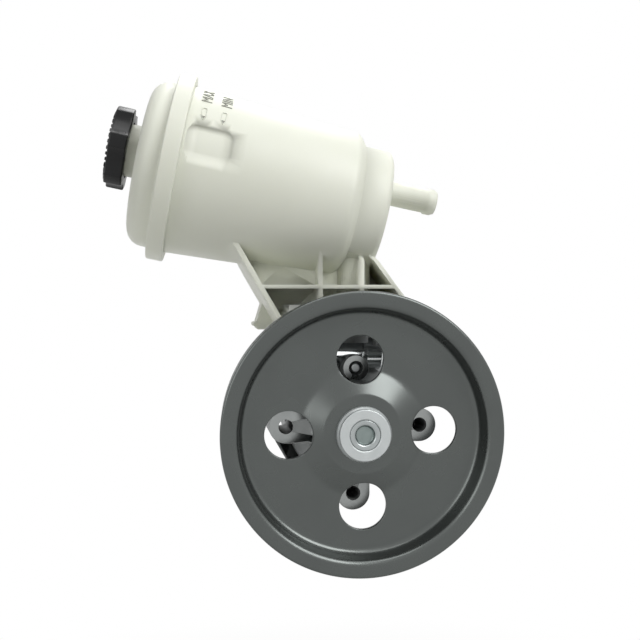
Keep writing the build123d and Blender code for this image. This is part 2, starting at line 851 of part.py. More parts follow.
def tank_profile(inset):
    """Reservoir outline as (x, radius, corner radius) points, moved inwards by the wall."""
    start = rim_overlap if inset == 0 else rim_overlap - overcut
    tail = tank_length - inset
    lip = tank_tail_lip if inset == 0 else tank_tail_lip / 2
    lean = atan2(tank_shoulder_radius - tank_tail_radius, tank_tail_start - tank_shoulder_start)
    back = inset * tan(lean / 2)
    return [
        (start, 0, 0),
        (start, tank_mouth_radius - inset, 0),
        (tank_shoulder_start - back, tank_shoulder_radius - inset, tank_shoulder_corner - inset),
        (tank_tail_start - back, tank_tail_radius - inset + lip, 0),
        (tank_tail_start - back, tank_tail_radius - inset, 0),
        (tail, tank_tail_radius - inset, tank_tail_corner - inset),
        (tail, 0, 0),
    ]


def wall_point(foot_x, foot_z, lean, z):
    """X of a leaning bracket wall's middle at height z."""
    return foot_x - lean * (z - foot_z)


def leaning_wall(foot_x, foot_z, lean, thickness, z_low, z_high, y_start, y_end):
    half = thickness / 2 * hypot(1, lean)
    low = wall_point(foot_x, foot_z, lean, z_low)
    high = wall_point(foot_x, foot_z, lean, z_high)
    outline = [(low - half, z_low, 0), (low + half, z_low, 0), (high + half, z_high, 0), (high - half, z_high, 0)]
    return wall_along_y(outline, y_start, y_end)


def make_bracket():
    """Ribbed bracket: two leaning walls, a cross web, shelf, upright ribs, floor and foot."""
    floor_top = saddle_top_z + floor_thickness
    reach_z = wall_top_z
    left_low = wall_point(left_wall_x, left_wall_z, left_wall_lean, saddle_top_z)
    left_high = wall_point(left_wall_x, left_wall_z, left_wall_lean, reach_z)
    right_low = wall_point(right_wall_x, right_wall_z, right_wall_lean, saddle_top_z)
    right_high = wall_point(right_wall_x, right_wall_z, right_wall_lean, reach_z)
    span = (bracket_front_y, bracket_rear_y)
    bracket = leaning_wall(left_wall_x, left_wall_z, left_wall_lean, left_wall_thickness,
                           saddle_top_z, reach_z, *span)
    bracket += leaning_wall(right_wall_x, right_wall_z, right_wall_lean, right_wall_thickness,
                            saddle_top_z, reach_z, *span)
    web_outline = [(left_low, saddle_top_z, 0), (right_low, saddle_top_z, 0), (right_high, reach_z, 0),
                   (left_high, reach_z, 0)]
    envelope = wall_along_y(web_outline, *span)
    for web_y, x_start, x_end in ((bracket_web_y, left_high, inlet_x), (right_web_y, inlet_x, right_low)):
        web = block(x_start, x_end, web_y, web_y + bracket_web_thickness, saddle_top_z, reach_z)
        bracket += web & envelope
    spine = block(inlet_x - rib_thickness / 2, inlet_x + rib_thickness / 2, inlet_y, right_web_y + bracket_web_thickness,
                  saddle_top_z, rib_top_z)
    bracket += spine
    bracket += block(left_low, right_low, *span, saddle_top_z, floor_top)
    shelf = block(left_high, right_low, *span, shelf_z - shelf_thickness / 2, shelf_z + shelf_thickness / 2)
    bracket += shelf & envelope
    for rib_x in (rib_left_x, rib_right_x):
        half = rib_thickness / 2
        bracket += block(rib_x - half, rib_x + half, *span, saddle_top_z, rib_top_z)
    for x, y in bolt_places:
        bracket += tube_z(bolt_boss_radius, saddle_top_z, floor_top + bolt_boss_height, x, y)
    bracket += bracket_foot()
    bracket += tube_z(suction_outer_radius, saddle_top_z, rib_top_z, inlet_x, inlet_y)
    return (bracket & bracket_side_outline()) - tail_relief()


def tail_relief():
    """Wedge that leans the front edges at the right back into the tank's slimmer tail."""
    slope = tail_relief_rise / (tail_relief_y - bracket_front_y)
    start_y = bracket_front_y - overcut
    outline = [(start_y, tail_relief_z - slope * (tail_relief_y - start_y)), (tail_relief_y, tail_relief_z),
               (tail_relief_y, wall_top_z + overcut), (start_y, wall_top_z + overcut)]
    left = rib_right_x - rib_thickness
    right = wall_point(right_wall_x, right_wall_z, right_wall_lean, saddle_top_z)
    face = make_face(Polyline(*[(left, y, z) for y, z in outline], close=True))
    return extrude(face, amount=right - left, dir=(1, 0, 0))


def bracket_side_outline():
    """Bracket's outline seen along X: its rear edge leans in under the tank."""
    outline = [(bracket_front_y, foot_bottom_z), (bracket_rear_y, foot_bottom_z), (bracket_rear_y, rear_corner_z),
               (rear_shoulder_y, rear_shoulder_z), (rear_shoulder_y, wall_top_z), (bracket_front_y, wall_top_z)]
    left = wall_point(left_wall_x, left_wall_z, left_wall_lean, wall_top_z) - left_wall_thickness
    right = wall_point(right_wall_x, right_wall_z, right_wall_lean, saddle_top_z) + left_wall_thickness
    face = make_face(Polyline(*[(left, y, z) for y, z in outline], close=True))
    return extrude(face, amount=right - left, dir=(1, 0, 0))


def bracket_foot():
    """Outboard foot at the rear left, with a small round tab."""
    inner = saddle_left_x - foot_gap
    top_x = wall_point(left_wall_x, left_wall_z, left_wall_lean, foot_top_z)
    outer_x = top_x - left_wall_thickness / 2 * hypot(1, left_wall_lean)
    outline = [(foot_left_x, foot_bottom_z, foot_corner), (inner, foot_bottom_z, 0), (inner, saddle_top_z, 0),
               (inner + foot_overlap, saddle_top_z, 0), (inner + foot_overlap, foot_knee_z, 0),
               (top_x, foot_top_z, 0), (outer_x, foot_top_z, 0), (foot_left_x, foot_knee_z, 0)]
    foot = wall_along_y(outline, foot_front_y, bracket_rear_y)
    return foot + tube_y(foot_tab_radius, foot_front_y, bracket_rear_y, foot_left_x - foot_tab_reach, foot_tab_z)


def make_reservoir_body():
    """Blow-moulded tank with its return nozzle, sight panel, bracket and suction stub in one piece."""
    outside = on_tank(turned_about_x(tank_profile(0)))
    inside = on_tank(turned_about_x(tank_profile(tank_wall)))
    body = outside + (make_bracket() - inside)
    tip = tank_length + nozzle_length
    nozzle = turned_about_x([
        (tank_length - tank_wall, 0, 0),
        (tank_length - tank_wall, nozzle_radius, 0),
        (tip - nozzle_bead_length, nozzle_radius, 0),
        (tip - nozzle_bead_length + nozzle_bead_step, nozzle_bead_radius, 0),
        (tip - nozzle_lead_in, nozzle_bead_radius, 0),
        (tip, nozzle_radius - nozzle_lead_drop, 0),
        (tip, 0, 0),
    ])
    body += on_tank(Pos(0, 0, nozzle_offset) * nozzle)
    body += tube_z(suction_spigot_radius, saddle_top_z - inlet_bore_depth + 1, saddle_top_z + 1, inlet_x, inlet_y)
    body -= inside
    body -= on_tank(tube_x(nozzle_bore_radius, tank_length - tank_wall - 1, tip + 1, z=nozzle_offset))
    body -= tube_z(suction_bore_radius, saddle_top_z - inlet_bore_depth, rib_top_z, inlet_x, inlet_y)
    body -= suction_ring(inlet_bore_radius)
    body -= on_tank(sight_panel())
    for x, y in bolt_places:
        body -= tube_z(sleeve_radius, saddle_top_z - 1, saddle_top_z + floor_thickness + bolt_boss_height + 1, x, y)
    return body


def sight_panel():
    """Shallow recess in the front of the tank: a rounded pad cut to follow the taper."""
    panel_end = panel_start + panel_length
    skin = tube_x(rim_radius, panel_start, panel_end)
    slope = (tank_mouth_radius - tank_shoulder_radius) / (tank_shoulder_start - rim_overlap)
    first_radius = tank_mouth_radius - slope * (panel_start - rim_overlap) - panel_depth
    last_radius = first_radius - slope * panel_length
    core = turned_about_x([
        (panel_start - overcut, 0, 0),
        (panel_start - overcut, first_radius + slope * overcut, 0),
        (panel_end + overcut, last_radius - slope * overcut, 0),
        (panel_end + overcut, 0, 0),
    ])
    pad = corner_outline([
        (panel_start, panel_low, panel_corner),
        (panel_end, panel_low, panel_corner),
        (panel_end, panel_high, panel_corner),
        (panel_start, panel_high, panel_corner),
    ])
    pad = extrude(Rot(90, 0, 0) * pad, amount=rim_radius, dir=(0, -1, 0))
    return (skin - core) & pad


def make_reservoir_lid():
    """Lid with a rim that laps the tank's mouth, a rounded crown and the filler neck."""
    seat = rim_overlap
    mouth_radius = tank_mouth_radius - tank_wall
    crown = turned_about_x([
        (rim_width, rim_radius, rim_edge),
        (0, rim_radius, rim_edge),
        (0, lid_radius, lid_foot),
        (-lid_height, lid_radius - lid_taper, lid_corner),
        (-lid_height, 0, 0),
        (-lid_height + tank_wall, 0, 0),
        (-lid_height + tank_wall, lid_radius - tank_wall - lid_taper, lid_corner - tank_wall),
        (seat, mouth_radius, 0),
        (seat, tank_mouth_radius + seat_gap / 2, 0),
        (rim_width, tank_mouth_radius + seat_gap / 2, 0),
    ])
    neck = Pos(0, 0, neck_offset) * tube_x(filler_radius, -lid_height - filler_length, -lid_height + 1)
    bore = Pos(0, 0, neck_offset) * tube_x(filler_bore_radius, -lid_height - filler_length - 1, 0)
    return on_tank(crown + neck - bore)


def make_strainer():
    """Slotted cup over the return nozzle inside the tank."""
    foot = tank_length - tank_wall
    head = foot - strainer_length
    cup = turned_about_x([
        (head, 0, 0),
        (head, strainer_radius, strainer_corner),
        (foot, strainer_radius, 0),
        (foot, strainer_radius - strainer_wall, 0),
        (head + strainer_wall, strainer_radius - strainer_wall, 0),
        (head + strainer_wall, 0, 0),
    ])
    half = strainer_slot_width / 2
    inner = strainer_radius - 2 * strainer_wall
    slot = block(head + strainer_slot_margin, foot - strainer_slot_margin, -half, half, inner, strainer_radius + overcut)
    for turn in range(strainer_slots):
        cup -= Rot(turn * 360 / strainer_slots, 0, 0) * slot
    return on_tank(Pos(0, 0, nozzle_offset - strainer_drop) * cup)


def suction_ring(outer):
    """Ring around the suction spigot's groove, out to the given radius."""
    top = saddle_top_z - suction_seal_top
    ring = tube_z(outer, top - seal_section, top) - tube_z(suction_groove_radius, top - seal_section - 1, top + 1)
    return Pos(inlet_x, inlet_y, 0) * ring


def make_suction_seal():
    """Sealing ring in the groove of the suction spigot."""
    return suction_ring(inlet_bore_radius)


def make_bolt_sleeves():
    """Steel sleeves that keep the bolts from crushing the bracket."""
    top = saddle_top_z + floor_thickness + bolt_boss_height
    bore = bolt_radius + drop_fit
    return [tube_z(sleeve_radius, saddle_top_z, top, x, y) - tube_z(bore, saddle_top_z - overcut, top + overcut, x, y)
            for x, y in bolt_places]


def make_reservoir_bolts():
    """Flange bolts that hold the bracket down on the saddle."""
    seat = saddle_top_z + floor_thickness + bolt_boss_height
    flange = Cylinder(bolt_flange_radius, bolt_flange_thickness, align=(Align.CENTER, Align.CENTER, Align.MIN))
    head = extrude(RegularPolygon(bolt_hex_across / sqrt(3), 6), amount=bolt_head_height)
    shank = Pos(0, 0, saddle_top_z - bolt_engagement - seat) * Cylinder(
        bolt_radius, bolt_engagement + seat - saddle_top_z, align=(Align.CENTER, Align.CENTER, Align.MIN))
    bolt = flange + head + shank
    return [Pos(x, y, seat) * bolt for x, y in bolt_places]


def make_filler_cap():
    """Black cap with finger scallops, drawn along X with its face at -cap_face."""
    face = -cap_face
    skirt = face + cap_height
    cap = turned_about_x([
        (face, 0, 0),
        (face, cap_radius, cap_edge),
        (skirt, cap_radius, cap_edge),
        (skirt, cap_bore_radius, 0),
        (face + cap_top_thickness, cap_bore_radius, 0),
        (face + cap_top_thickness, 0, 0),
    ])
    centre = cap_radius + cap_scallop_radius - cap_scallop_depth
    for turn in range(cap_scallops):
        scallop = tube_x(cap_scallop_radius, face - 1, skirt + 1, y=-centre)
        cap -= Rot(-cap_scallop_turn + turn * 360 / cap_scallops, 0, 0) * scallop
    return on_tank(Pos(0, 0, neck_offset) * cap)


def make_cap_gasket():
    """Flat ring between the cap and the mouth of the neck."""
    mouth = -lid_height - filler_length
    ring = tube_x(cap_bore_radius - drop_fit, mouth - gasket_thickness, mouth)
    ring -= tube_x(filler_bore_radius - gasket_lip, mouth - gasket_thickness - overcut, mouth + overcut)
    return on_tank(Pos(0, 0, neck_offset) * ring)


pieces = {
    "pulley": make_pulley(),
    "pulley_hub": make_pulley_hub(),
    "drive_shaft": make_drive_shaft(),
    "shaft_seal": make_shaft_seal(),
    "front_bush": make_front_bush(),
    "pump_housing": make_pump_housing(),
    "thrust_plate": make_thrust_plate(),
    "cam_ring": make_cam_ring(),
    "rotor": make_rotor(),
    "pressure_plate": make_pressure_plate(),
    "pressure_plate_seal": make_pressure_plate_seal(),
    "dowel_pins": make_dowel_pins(),
    "rotor_snap_ring": make_rotor_snap_ring(),
    "pressure_spring": make_pressure_spring(),
    "end_cover": make_end_cover(),
    "end_cover_seal": make_end_cover_seal(),
    "retaining_ring": make_retaining_ring(),
    "flow_spool": make_flow_spool(),
    "spool_spring": make_spool_spring(),
    "valve_plug": make_valve_plug(),
    "outlet_union": make_outlet_union(),
    "gallery_plug": make_gallery_plug(),
    "reservoir_body": make_reservoir_body(),
    "reservoir_lid": make_reservoir_lid(),
    "strainer": make_strainer(),
    "suction_seal": make_suction_seal(),
    "bolt_sleeves": make_bolt_sleeves(),
    "reservoir_bolts": make_reservoir_bolts(),
    "filler_cap": make_filler_cap(),
    "cap_gasket": make_cap_gasket(),
}
for number in range(vane_count):
    pieces[f"vane_{number + 1:02d}"] = make_vane(number)

os.makedirs("parts", exist_ok=True)
for node, shape in pieces.items():
    solid = Compound(children=shape) if isinstance(shape, list) else shape
    export_step(solid, f"parts/{node}.step")
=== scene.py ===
import json
import math

import bmesh
import bpy
import numpy as np
from mathutils import Euler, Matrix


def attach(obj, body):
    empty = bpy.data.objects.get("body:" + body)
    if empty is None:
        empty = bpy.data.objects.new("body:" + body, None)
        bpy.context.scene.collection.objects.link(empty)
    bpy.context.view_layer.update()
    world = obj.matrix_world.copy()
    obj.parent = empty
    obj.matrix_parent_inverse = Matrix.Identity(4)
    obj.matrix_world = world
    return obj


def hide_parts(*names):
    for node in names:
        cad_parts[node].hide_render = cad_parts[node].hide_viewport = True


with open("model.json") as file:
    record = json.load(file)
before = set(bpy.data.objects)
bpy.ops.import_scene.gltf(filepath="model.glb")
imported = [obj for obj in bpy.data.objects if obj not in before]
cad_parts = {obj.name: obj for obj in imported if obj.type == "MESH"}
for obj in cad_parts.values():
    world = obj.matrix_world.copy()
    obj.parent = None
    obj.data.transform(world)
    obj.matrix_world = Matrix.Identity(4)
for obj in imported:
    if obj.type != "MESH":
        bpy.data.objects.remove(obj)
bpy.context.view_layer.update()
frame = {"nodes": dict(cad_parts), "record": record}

bl_info = {
    "name": "Power steering pump",
    "version": (1, 0, 0),
    "blender": (4, 5, 0),
    "location": "3D View > Sidebar > Pump",
    "description": "Dresses the pump's frame with its detailed surfaces, finishes and studio",
    "category": "Object",
}

MM = 0.001


# Numbers and outlines

def unit(vectors):
    """Vectors brought to length one along the last axis."""
    length = np.linalg.norm(vectors, axis=-1, keepdims=True)
    return vectors / np.maximum(length, 1e-12)


def rounded_path(corners, steps=9):
    """Open line through (u, v, corner radius) points: each inner corner becomes the arc tangent to both sides."""
    spots = np.array([corner[:2] for corner in corners], float)
    runs = []
    for index, (u, v, radius) in enumerate(corners):
        if radius == 0 or index in (0, len(corners) - 1):
            runs.append(spots[index:index + 1])
            continue
        back = unit(spots[index - 1] - spots[index])
        ahead = unit(spots[index + 1] - spots[index])
        half = math.acos(float(np.clip(back @ ahead, -1, 1))) / 2
        centre = spots[index] + unit(back + ahead) * radius / math.sin(half)
        start = spots[index] + back * radius / math.tan(half) - centre
        stop = spots[index] + ahead * radius / math.tan(half) - centre
        first = math.atan2(start[1], start[0])
        sweep = (math.atan2(stop[1], stop[0]) - first + math.pi) % (2 * math.pi) - math.pi
        turn = first + sweep * np.linspace(0, 1, steps)
        runs.append(centre + radius * np.stack([np.cos(turn), np.sin(turn)], axis=-1))
    return np.concatenate(runs)


def full_turn(count, start=0.0):
    return start + np.arange(count) * 2 * math.pi / count


def spin_y(path, angles):
    """Surface of revolution about Y: x = r cos a, z = r sin a, y as given, from (r, y) rows in millimetres."""
    radius, along = path[:, 0, None], path[:, 1, None]
    points = np.stack(np.broadcast_arrays(radius * np.cos(angles), along, radius * np.sin(angles)), axis=-1)
    return points * MM


def spin_valve(path, angles):
    """Surface of revolution about the valve's axis, which lies along X: x as given, y and z the axis's own plus
    r cos a and r sin a, from (r, x) rows in millimetres."""
    radius, along = path[:, 0, None], path[:, 1, None]
    points = (along, VALVE_AXIS[0] + radius * np.cos(angles), VALVE_AXIS[1] + radius * np.sin(angles))
    return np.stack(np.broadcast_arrays(*points), axis=-1) * MM


def spin_tank(path, angles, lift=0.0):
    """Surface of revolution about the tank's axis from (s, r) rows in millimetres, raised by lift along the tank's
    up normal; the angle runs from the front towards the top."""
    along, radius = path[:, 0, None], path[:, 1, None]
    lift = np.broadcast_to(np.asarray(lift, float), (len(path),))[:, None]
    points = np.stack(np.broadcast_arrays(along, -radius * np.cos(angles), lift + radius * np.sin(angles)), axis=-1)
    return tank_frame(points)


def tank_frame(points):
    """Points given as (s, y, n) in millimetres along the tank's tilted axis, brought into the shared frame."""
    sizes = bpy.context.scene.pump_sizes
    tilt = sizes.tank_tilt
    s, y, n = points[..., 0], points[..., 1], points[..., 2]
    place = np.array(sizes.tank_place)
    turned = np.stack([s * math.cos(tilt) + n * math.sin(tilt), y, n * math.cos(tilt) - s * math.sin(tilt)], axis=-1)
    return turned * MM + place


def grid_faces(rows, columns, wrap, first=0):
    """Quads of a grid of points, closed round its columns where wrap is set."""
    index = first + np.arange(rows * columns).reshape(rows, columns)
    if wrap:
        index = np.concatenate([index, index[:, :1]], axis=1)
    quads = [index[:-1, :-1], index[1:, :-1], index[1:, 1:], index[:-1, 1:]]
    return np.stack(quads, axis=-1).reshape(-1, 4)


def add_piece(name, grids, body, material, replaces=(), sharp=32.0):
    """One mesh from several point grids: shared edges are merged, faces turned outwards, bends over the given
    angle kept crisp."""
    points, faces, first = [], [], 0
    for grid, wrap in grids:
        rows, columns = grid.shape[:2]
        points.append(grid.reshape(-1, 3))
        faces.append(grid_faces(rows, columns, wrap, first))
        first += rows * columns
    mesh = bpy.data.meshes.new(name)
    mesh.from_pydata(np.concatenate(points).tolist(), [], np.concatenate(faces).tolist())
    return place_piece(name, mesh, body, material, replaces, sharp)


def place_piece(name, mesh, body, material, replaces=(), sharp=32.0):
    """Cleans a mesh, gives it its finish and rides it on its body."""
    work = bmesh.new()
    work.from_mesh(mesh)
    bmesh.ops.remove_doubles(work, verts=work.verts, dist=2e-6)
    bmesh.ops.dissolve_degenerate(work, edges=work.edges, dist=1e-7)
    bmesh.ops.recalc_face_normals(work, faces=work.faces)
    work.to_mesh(mesh)
    work.free()
    mesh.shade_smooth()
    mesh.set_sharp_from_angle(angle=math.radians(sharp))
    mesh.materials.clear()
    mesh.materials.append(material)
    piece = bpy.data.objects.new(name, mesh)
    bpy.context.scene.collection.objects.link(piece)
    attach(piece, body)
    if replaces:
        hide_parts(*replaces)
    return piece


def copy_of_node(node, name, body, material, even=True):
    """The node's own mesh, merged and smoothed, in place of the loose triangles. Where even is set its shading
    follows the larger faces, so flats and cones stay even beside a cut."""
    mesh = frame["nodes"][node].data.copy()
    mesh.name = name
    piece = place_piece(name, mesh, body, material, (node,), sharp=24.0)
    if even:
        shading = piece.modifiers.new("even_shading", "WEIGHTED_NORMAL")
        shading.mode = "FACE_AREA_WITH_ANGLE"
        shading.weight = 80
        shading.keep_sharp = True
    return piece


# Materials

def linear(colour):
    """sRGB hex colour as linear red, green, blue and alpha."""
    parts = [int(colour[place:place + 2], 16) / 255 for place in (1, 3, 5)]
    return tuple(p / 12.92 if p <= 0.04045 else ((p + 0.055) / 1.055) ** 2.4 for p in parts) + (1.0,)


def add_node(tree, kind, sockets=None, **settings):
    """Adds one node: settings go on the node, sockets take a value or another node's output."""
    node = tree.nodes.new("ShaderNode" + kind)
    for key, value in settings.items():
        setattr(node, key, value)
    for key, value in (sockets or {}).items():
        if isinstance(value, bpy.types.NodeSocket):
            tree.links.new(value, node.inputs[key])
        else:
            node.inputs[key].default_value = value
    return node


def surface(name, light, dark, rough, patch_mm, grain_mm, grain_depth, edge_mm=0.0, shade_recess_mm=0.0, **shader_values):
    """A finish whose colour drifts between two tones in patches, with roughness drifting alike, and a fine grain
    worked into the normal. Where a pocket depth is given, shade is painted into the colour: it darkens in pockets
    of about that depth, down to RECESS_SHADE of it, as painted shade for the little light that comes back out of
    them. Sizes are the real ones in millimetres."""
    material = bpy.data.materials.new(name)
    material.use_nodes = True
    tree = material.node_tree
    shader = tree.nodes["Principled BSDF"]
    place = add_node(tree, "TexCoord").outputs["Object"]
    patches = add_node(tree, "TexNoise", {"Vector": place, "Scale": 1000 / patch_mm, "Detail": 3.0})
    tone = add_node(tree, "Mix", {0: patches.outputs["Fac"], 6: linear(light), 7: linear(dark)}, data_type="RGBA")
    colour = tone.outputs[2]
    if shade_recess_mm:
        # Painted shade: ambient occlusion darkens the colour in pockets, where little light gets back out
        open_sky = add_node(tree, "AmbientOcclusion", {"Distance": shade_recess_mm * MM}, samples=6)
        shade = add_node(tree, "MapRange", {"Value": open_sky.outputs["AO"], "From Min": RECESS_CLOSED,
                                            "From Max": RECESS_OPEN, "To Min": RECESS_SHADE,
                                            "To Max": 1.0})
        colour = add_node(tree, "VectorMath", {0: colour, "Scale": shade.outputs["Result"]},
                          operation="SCALE").outputs[0]
    tree.links.new(colour, shader.inputs["Base Color"])
    wear = add_node(tree, "MapRange", {"Value": patches.outputs["Fac"], "From Min": 0.3, "From Max": 0.7,
                                       "To Min": rough[0], "To Max": rough[1]})
    tree.links.new(wear.outputs["Result"], shader.inputs["Roughness"])
    grain = add_node(tree, "TexNoise", {"Vector": place, "Scale": 1000 / grain_mm, "Detail": 2.0})
    bump = add_node(tree, "Bump", {"Height": grain.outputs["Fac"], "Strength": 1.0, "Distance": grain_depth * MM})
    if edge_mm:
        edge = add_node(tree, "Bevel", {"Radius": edge_mm * MM}, samples=4)
        tree.links.new(edge.outputs["Normal"], bump.inputs["Normal"])
    tree.links.new(bump.outputs["Normal"], shader.inputs["Normal"])
    for key, value in shader_values.items():
        shader.inputs[key.replace("_", " ")].default_value = value
    return material


def turned_rings(material, spacing_mm, depth_mm, axis="Y"):
    """Adds a lathe tool's rings about an axis to a finish, in place of its grain."""
    tree = material.node_tree
    place = add_node(tree, "TexCoord").outputs["Object"]
    scale = math.pi / 10 * 1000 / spacing_mm
    rings = add_node(tree, "TexWave", {"Vector": place, "Scale": scale, "Distortion": 0.4, "Detail": 1.0},
                     wave_type="RINGS", rings_direction=axis)
    bump = next(node for node in tree.nodes if node.type == "BUMP")
    tree.links.new(rings.outputs["Fac"], bump.inputs["Height"])
    bump.inputs["Distance"].default_value = depth_mm * MM


def make_materials():
    colours = bpy.context.scene.pump_colours
    made = {}
    # Phosphated pressed steel: a dark grey metallic film with a satin sheen that draws long soft highlights
    made["pulley_paint"] = surface("phosphated_pressed_steel", colours.paint, "#565958", (0.25, 0.31), 30.0, 0.9,
                                   0.002, 0.3, Metallic=0.85)
    # Zinc-plated turned steel: pale silver with a slight blue cast and fine tool rings
    made["zinc_steel"] = surface("zinc_plated_turned_steel", colours.zinc, "#A9AEAE", (0.28, 0.38), 6.0, 0.3, 0.002,
                                 0.35, Metallic=1.0)
    turned_rings(made["zinc_steel"], 0.5, 0.0015)
    # Zinc-flake coated bolts: dull pale grey, no tool rings
    made["bolt_coat"] = surface("zinc_flake_coated_steel", "#A9ABA6", "#8F918C", (0.5, 0.62), 3.0, 0.25, 0.004, 0.3,
                                Metallic=0.8)
    # Ground shaft steel: darker and smoother than the plating
    made["ground_steel"] = surface("ground_shaft_steel", "#AEB3B3", "#9A9F9F", (0.25, 0.33), 5.0, 0.3, 0.002, 0.3,
                                   Metallic=1.0)
    turned_rings(made["ground_steel"], 0.4, 0.0015)
    # Floor of the shaft's centre hole: ground steel under a film of green-grey oil
    made["oiled_steel"] = surface("oiled_shaft_steel", "#8A9492", "#7E8886", (0.3, 0.4), 3.0, 0.4, 0.001, 0.0,
                                  Metallic=1.0)
    # Zinc-plated hub: the same plating over a coarser turned skin, pale from the side too
    made["hub_zinc"] = surface("zinc_plated_hub_steel", "#C6CACA", "#B4B9B9", (0.38, 0.5), 6.0, 0.3, 0.002, 0.45,
                               Metallic=0.75)
    turned_rings(made["hub_zinc"], 0.6, 0.002)
    # Hardened steel inside the pump: clean grey
    made["hard_steel"] = surface("hardened_ground_steel", "#9FA2A5", "#85888B", (0.22, 0.34), 6.0, 0.4, 0.003, 0.15,
                                 Metallic=1.0)
    # Die-cast aluminium, blasted: matt mid grey with a fine sandy skin that goes dark where little light reaches
    made["cast_aluminium"] = surface("blasted_die_cast_aluminium", colours.casting, "#868989", (0.5, 0.64), 9.0, 0.7,
                                     0.02, 0.7, Metallic=0.45)
    # Faces milled flat on the casting: smooth light grey that mirrors what lies straight in front
    made["milled_face"] = surface("milled_aluminium_face", "#989B9A", "#8C8F8E", (0.16, 0.22), 7.0, 0.5, 0.001, 0.2,
                                  Metallic=1.0)
    # Turned valve barrel and its plug: near mirror, drawn into bright and dark bands along its length
    made["bright_barrel"] = surface("turned_bright_aluminium", "#C9CCCC", "#B4B8B8", (0.1, 0.15), 6.0, 0.5, 0.001, 0.2,
                                    Metallic=1.0)
    # Sintered bronze bush
    made["bush_bronze"] = surface("sintered_bronze", "#B08A52", "#8F6B3A", (0.35, 0.5), 4.0, 0.3, 0.004, 0.2,
                                  Metallic=1.0)
    # Nitrile rubber: matt black
    made["seal_rubber"] = surface("moulded_nitrile_rubber", "#1B1C1D", "#121314", (0.6, 0.75), 4.0, 0.5, 0.006, 0.2)
    # Moulded polypropylene: creamy, a little light passes under the skin, fine mould texture, with shade painted into
    # its colour in pockets about 30 mm deep
    made["tank_plastic"] = surface("moulded_natural_polypropylene", colours.tank, "#E4E6D8", (0.38, 0.5), 45.0, 0.8,
                                   0.006, 0.3, 30.0, Subsurface_Weight=0.12, Subsurface_Scale=0.004,
                                   Subsurface_Radius=(1.0, 0.95, 0.8), IOR=1.49)
    # Raised words and arrow tips: greenish grey, satin; painted shade, darker than the tank to stand for the shading
    # along the raised strokes
    made["word_foil"] = surface("grey_stamping_foil", "#8E9084", "#7F8176", (0.4, 0.5), 3.0, 0.3, 0.002)
    # Moulded black nylon: satin with a fine spark-eroded texture
    made["cap_plastic"] = surface("moulded_black_nylon", colours.cap, "#0C0D0D", (0.24, 0.34), 12.0, 0.5, 0.006, 0.3,
                                  IOR=1.53, Specular_IOR_Level=0.25)
    return made


# Pieces

PULLEY_FRONT = [(12.4, -33.6, 0), (20.5, -33.6, 3), (33.5, -27.4, 6), (63.1, -27.4, 3.5), (65.1, -38.0, 3.5),
                (74.0, -38.0, 1.5), (74.0, -36.28, 0)]
PULLEY_REAR = [(73.0, -12.0, 0), (67.2, -12.0, 0), (67.2, -24.4, 3), (34.3, -24.4, 6), (21.3, -30.6, 3),
               (12.4, -30.6, 0)]
GROOVE_START, GROOVE_PITCH, GROOVE_COUNT = -35.68, 3.56, 6
CREST_RADIUS, VALLEY_RADIUS = 73.0, 70.3
WEB_INNER, WEB_OUTER = 23.0, 53.0
WEB_FRONT, WEB_REAR = -27.4, -24.4
CAP_FACE, CAP_SKIRT, CAP_EDGE = -29.7, -19.9, 1.0
CAP_BORE_RADIUS, CAP_BORE_FLOOR = 15.4, -27.9
CAP_MARKS, CAP_MARK_HEIGHT = 36, 0.8
CAP_SCALLOPS, CAP_TURN = 6, math.radians(-32.0)
SCALLOP_RADIUS, SCALLOP_DEPTH = 17.0, 3.5
TANK_MOUTH_START, TANK_MOUTH_RADIUS = 3.0, 46.5
TANK_SHOULDER_START, TANK_SHOULDER_RADIUS = 102.5, 41.3
HUB_PROFILE = [(8.0, -39.1, 0), (8.5, -39.6, 0), (13.0, -39.6, 0), (13.3, -39.3, 0), (13.3, -37.2, 0),
               (14.4, -35.9, 0.4), (14.5, -33.6, 0), (12.4, -33.6, 0), (12.4, -16.4, 0), (11.6, -15.6, 0),
               (8.5, -15.6, 0), (8.0, -16.1, 0), (8.0, -39.1, 0)]
SHAFT_HOLE = [(5.86, -39.14, 0), (4.72, -38.0, 0), (4.72, -36.6, 0), (4.3, -36.2, 0), (0.0, -36.2, 0),
              (0.0, -35.9, 0), (4.74, -35.9, 0), (4.74, -37.9, 0), (5.86, -39.14, 0)]
BARREL_SKIN = [(7.9, -30.0, 0), (8.03, -29.9, 0), (8.03, 7.2, 0), (7.9, 7.3, 0)]
MILLED_FACES = (0.0, 5.0)
# Painted shade in pockets: the lowest share of the colour kept, and the occlusion values over which it fades in
RECESS_SHADE, RECESS_CLOSED, RECESS_OPEN = 0.75, 0.05, 0.5
VALVE_AXIS, BARREL_RADIUS = (20.0, 39.0), 8.0


def belt_grooves():
    """Six V grooves as (r, y) rows: crest, flank, valley, flank for each."""
    starts = GROOVE_START + GROOVE_PITCH * np.arange(GROOVE_COUNT)[:, None]
    along = starts + np.array([0.35, GROOVE_PITCH / 2 - 0.3, GROOVE_PITCH / 2 + 0.3, GROOVE_PITCH - 0.35])
    radius = np.broadcast_to([CREST_RADIUS, VALLEY_RADIUS, VALLEY_RADIUS, CREST_RADIUS], along.shape)
    rows = np.stack([radius.ravel(), along.ravel()], axis=-1)
    return np.concatenate([[[CREST_RADIUS, GROOVE_START]], rows])


def sheet_height(radius, path):
    """Height of one side of the sheet at a radius, read off its outline."""
    order = np.argsort(path[:, 0], kind="stable")
    return np.interp(radius, path[order, 0], path[order, 1])


